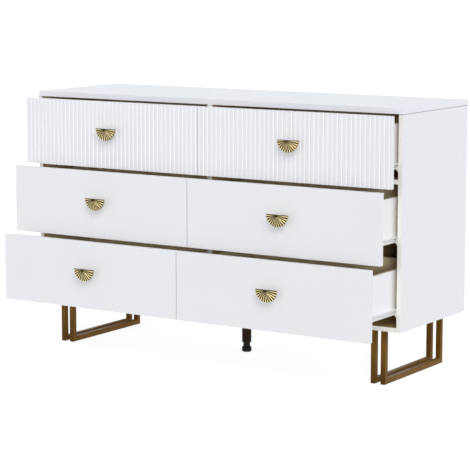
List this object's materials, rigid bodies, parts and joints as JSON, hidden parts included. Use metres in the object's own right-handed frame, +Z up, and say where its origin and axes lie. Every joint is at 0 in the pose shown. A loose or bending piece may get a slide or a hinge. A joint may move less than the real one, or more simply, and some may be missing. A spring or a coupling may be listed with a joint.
{
  "type": "dresser",
  "caption": "Low white dresser with two columns of drawers standing open on roller slides, fluted top fronts, brass fan knobs, bronze U-frame legs and a centre support leg.",
  "frame": {"origin": "on the floor under the centre leg, in the middle of the cabinet's plan", "axes": "+X to the right seen from the front, the drawer fronts face -Y, +Z up; the drawers stand open at rest"},
  "size_m": [1.2, 0.5724, 0.74],
  "materials": {
    "white_lacquer": "white lacquered board, satin to semi-gloss",
    "box_board": "white melamine foil on fibreboard, matt",
    "base_board": "thin fibreboard with a light foil, matt",
    "back_board": "thin raw fibreboard, matt",
    "brass": "cast brass, polished ribs with dark patina in the grooves",
    "slide_epoxy": "white epoxy powder coat on pressed sheet steel",
    "roller_nylon": "white nylon",
    "bronze_paint": "bronze-gold powder coat on square steel tube, satin",
    "dark_bronze_paint": "dark bronze powder coat, satin",
    "black_plastic": "moulded black plastic on a steel stud",
    "zinc_steel": "zinc-plated screws, cam locks and bolts; beech dowels in the rails"
  },
  "bodies": {
    "cabinet": {"top_panel": "white_lacquer", "left_side_panel": "white_lacquer", "right_side_panel": "white_lacquer", "centre_divider": "white_lacquer", "bottom_panel": "white_lacquer", "back_panel": "back_board", "front_rails": "white_lacquer", "cabinet_slides": "slide_epoxy", "leg_frames": "bronze_paint", "centre_leg": "dark_bronze_paint", "assembly_fasteners": "zinc_steel"},
    "centre_foot": {"centre_leg_foot": "black_plastic"},
    "top_left_drawer": {"top_left_drawer_front": "white_lacquer", "top_left_drawer_sides": "box_board", "top_left_drawer_back": "box_board", "top_left_drawer_bottom": "base_board", "top_left_drawer_knob": "brass", "top_left_drawer_runners": "slide_epoxy"},
    "top_left_drawer_front_rollers": {"top_left_drawer_front_rollers": "roller_nylon"},
    "top_left_drawer_rear_rollers": {"top_left_drawer_rear_rollers": "roller_nylon"},
    "top_right_drawer": {"top_right_drawer_front": "white_lacquer", "top_right_drawer_sides": "box_board", "top_right_drawer_back": "box_board", "top_right_drawer_bottom": "base_board", "top_right_drawer_knob": "brass", "top_right_drawer_runners": "slide_epoxy"},
    "top_right_drawer_front_rollers": {"top_right_drawer_front_rollers": "roller_nylon"},
    "top_right_drawer_rear_rollers": {"top_right_drawer_rear_rollers": "roller_nylon"},
    "middle_left_drawer": {"middle_left_drawer_front": "white_lacquer", "middle_left_drawer_sides": "box_board", "middle_left_drawer_back": "box_board", "middle_left_drawer_bottom": "base_board", "middle_left_drawer_knob": "brass", "middle_left_drawer_runners": "slide_epoxy"},
    "middle_left_drawer_front_rollers": {"middle_left_drawer_front_rollers": "roller_nylon"},
    "middle_left_drawer_rear_rollers": {"middle_left_drawer_rear_rollers": "roller_nylon"},
    "middle_right_drawer": {"middle_right_drawer_front": "white_lacquer", "middle_right_drawer_sides": "box_board", "middle_right_drawer_back": "box_board", "middle_right_drawer_bottom": "base_board", "middle_right_drawer_knob": "brass", "middle_right_drawer_runners": "slide_epoxy"},
    "middle_right_drawer_front_rollers": {"middle_right_drawer_front_rollers": "roller_nylon"},
    "middle_right_drawer_rear_rollers": {"middle_right_drawer_rear_rollers": "roller_nylon"},
    "bottom_left_drawer": {"bottom_left_drawer_front": "white_lacquer", "bottom_left_drawer_sides": "box_board", "bottom_left_drawer_back": "box_board", "bottom_left_drawer_bottom": "base_board", "bottom_left_drawer_knob": "brass", "bottom_left_drawer_runners": "slide_epoxy"},
    "bottom_left_drawer_front_rollers": {"bottom_left_drawer_front_rollers": "roller_nylon"},
    "bottom_left_drawer_rear_rollers": {"bottom_left_drawer_rear_rollers": "roller_nylon"},
    "bottom_right_drawer": {"bottom_right_drawer_front": "white_lacquer", "bottom_right_drawer_sides": "box_board", "bottom_right_drawer_back": "box_board", "bottom_right_drawer_bottom": "base_board", "bottom_right_drawer_knob": "brass", "bottom_right_drawer_runners": "slide_epoxy"},
    "bottom_right_drawer_front_rollers": {"bottom_right_drawer_front_rollers": "roller_nylon"},
    "bottom_right_drawer_rear_rollers": {"bottom_right_drawer_rear_rollers": "roller_nylon"}
  },
  "joints": [
    {"name": "centre_foot_height", "type": "slide", "parent": "cabinet", "child": "centre_foot", "axis": [0, 0, 1], "range_m": [0, 0.012]},
    {"name": "top_left_drawer_slide", "type": "slide", "parent": "cabinet", "child": "top_left_drawer", "axis": [0, -1, 0], "range_m": [-0.044, 0.211]},
    {"name": "top_left_drawer_front_rollers_spin", "type": "hinge", "parent": "cabinet", "child": "top_left_drawer_front_rollers", "pos_m": [-0.29775, -0.172, 0.58275], "axis": [1, 0, 0], "range_deg": [-231, 1101]},
    {"name": "top_left_drawer_rear_rollers_spin", "type": "hinge", "parent": "top_left_drawer", "child": "top_left_drawer_rear_rollers", "pos_m": [-0.29775, 0.0995, 0.58275], "axis": [1, 0, 0], "range_deg": [-231, 1101]},
    {"name": "top_right_drawer_slide", "type": "slide", "parent": "cabinet", "child": "top_right_drawer", "axis": [0, -1, 0], "range_m": [-0.044, 0.211]},
    {"name": "top_right_drawer_front_rollers_spin", "type": "hinge", "parent": "cabinet", "child": "top_right_drawer_front_rollers", "pos_m": [0.29775, -0.172, 0.58275], "axis": [1, 0, 0], "range_deg": [-231, 1101]},
    {"name": "top_right_drawer_rear_rollers_spin", "type": "hinge", "parent": "top_right_drawer", "child": "top_right_drawer_rear_rollers", "pos_m": [0.29775, 0.0995, 0.58275], "axis": [1, 0, 0], "range_deg": [-231, 1101]},
    {"name": "middle_left_drawer_slide", "type": "slide", "parent": "cabinet", "child": "middle_left_drawer", "axis": [0, -1, 0], "range_m": [-0.097, 0.158]},
    {"name": "middle_left_drawer_front_rollers_spin", "type": "hinge", "parent": "cabinet", "child": "middle_left_drawer_front_rollers", "pos_m": [-0.29775, -0.172, 0.39025], "axis": [1, 0, 0], "range_deg": [-507, 824]},
    {"name": "middle_left_drawer_rear_rollers_spin", "type": "hinge", "parent": "middle_left_drawer", "child": "middle_left_drawer_rear_rollers", "pos_m": [-0.29775, 0.0465, 0.39025], "axis": [1, 0, 0], "range_deg": [-507, 824]},
    {"name": "middle_right_drawer_slide", "type": "slide", "parent": "cabinet", "child": "middle_right_drawer", "axis": [0, -1, 0], "range_m": [-0.097, 0.158]},
    {"name": "middle_right_drawer_front_rollers_spin", "type": "hinge", "parent": "cabinet", "child": "middle_right_drawer_front_rollers", "pos_m": [0.29775, -0.172, 0.39025], "axis": [1, 0, 0], "range_deg": [-507, 824]},
    {"name": "middle_right_drawer_rear_rollers_spin", "type": "hinge", "parent": "middle_right_drawer", "child": "middle_right_drawer_rear_rollers", "pos_m": [0.29775, 0.0465, 0.39025], "axis": [1, 0, 0], "range_deg": [-507, 824]},
    {"name": "bottom_left_drawer_slide", "type": "slide", "parent": "cabinet", "child": "bottom_left_drawer", "axis": [0, -1, 0], "range_m": [-0.15, 0.105]},
    {"name": "bottom_left_drawer_front_rollers_spin", "type": "hinge", "parent": "cabinet", "child": "bottom_left_drawer_front_rollers", "pos_m": [-0.29775, -0.172, 0.19775], "axis": [1, 0, 0], "range_deg": [-783, 548]},
    {"name": "bottom_left_drawer_rear_rollers_spin", "type": "hinge", "parent": "bottom_left_drawer", "child": "bottom_left_drawer_rear_rollers", "pos_m": [-0.29775, -0.0065, 0.19775], "axis": [1, 0, 0], "range_deg": [-783, 548]},
    {"name": "bottom_right_drawer_slide", "type": "slide", "parent": "cabinet", "child": "bottom_right_drawer", "axis": [0, -1, 0], "range_m": [-0.15, 0.105]},
    {"name": "bottom_right_drawer_front_rollers_spin", "type": "hinge", "parent": "cabinet", "child": "bottom_right_drawer_front_rollers", "pos_m": [0.29775, -0.172, 0.19775], "axis": [1, 0, 0], "range_deg": [-783, 548]},
    {"name": "bottom_right_drawer_rear_rollers_spin", "type": "hinge", "parent": "bottom_right_drawer", "child": "bottom_right_drawer_rear_rollers", "pos_m": [0.29775, -0.0065, 0.19775], "axis": [1, 0, 0], "range_deg": [-783, 548]}
  ],
  "couplings": [
    {"joint": "top_left_drawer_front_rollers_spin", "follows": "top_left_drawer_slide", "rad_per_m": 90.909},
    {"joint": "top_left_drawer_rear_rollers_spin", "follows": "top_left_drawer_slide", "rad_per_m": 90.909},
    {"joint": "top_right_drawer_front_rollers_spin", "follows": "top_right_drawer_slide", "rad_per_m": 90.909},
    {"joint": "top_right_drawer_rear_rollers_spin", "follows": "top_right_drawer_slide", "rad_per_m": 90.909},
    {"joint": "middle_left_drawer_front_rollers_spin", "follows": "middle_left_drawer_slide", "rad_per_m": 90.909},
    {"joint": "middle_left_drawer_rear_rollers_spin", "follows": "middle_left_drawer_slide", "rad_per_m": 90.909},
    {"joint": "middle_right_drawer_front_rollers_spin", "follows": "middle_right_drawer_slide", "rad_per_m": 90.909},
    {"joint": "middle_right_drawer_rear_rollers_spin", "follows": "middle_right_drawer_slide", "rad_per_m": 90.909},
    {"joint": "bottom_left_drawer_front_rollers_spin", "follows": "bottom_left_drawer_slide", "rad_per_m": 90.909},
    {"joint": "bottom_left_drawer_rear_rollers_spin", "follows": "bottom_left_drawer_slide", "rad_per_m": 90.909},
    {"joint": "bottom_right_drawer_front_rollers_spin", "follows": "bottom_right_drawer_slide", "rad_per_m": 90.909},
    {"joint": "bottom_right_drawer_rear_rollers_spin", "follows": "bottom_right_drawer_slide", "rad_per_m": 90.909}
  ]
}
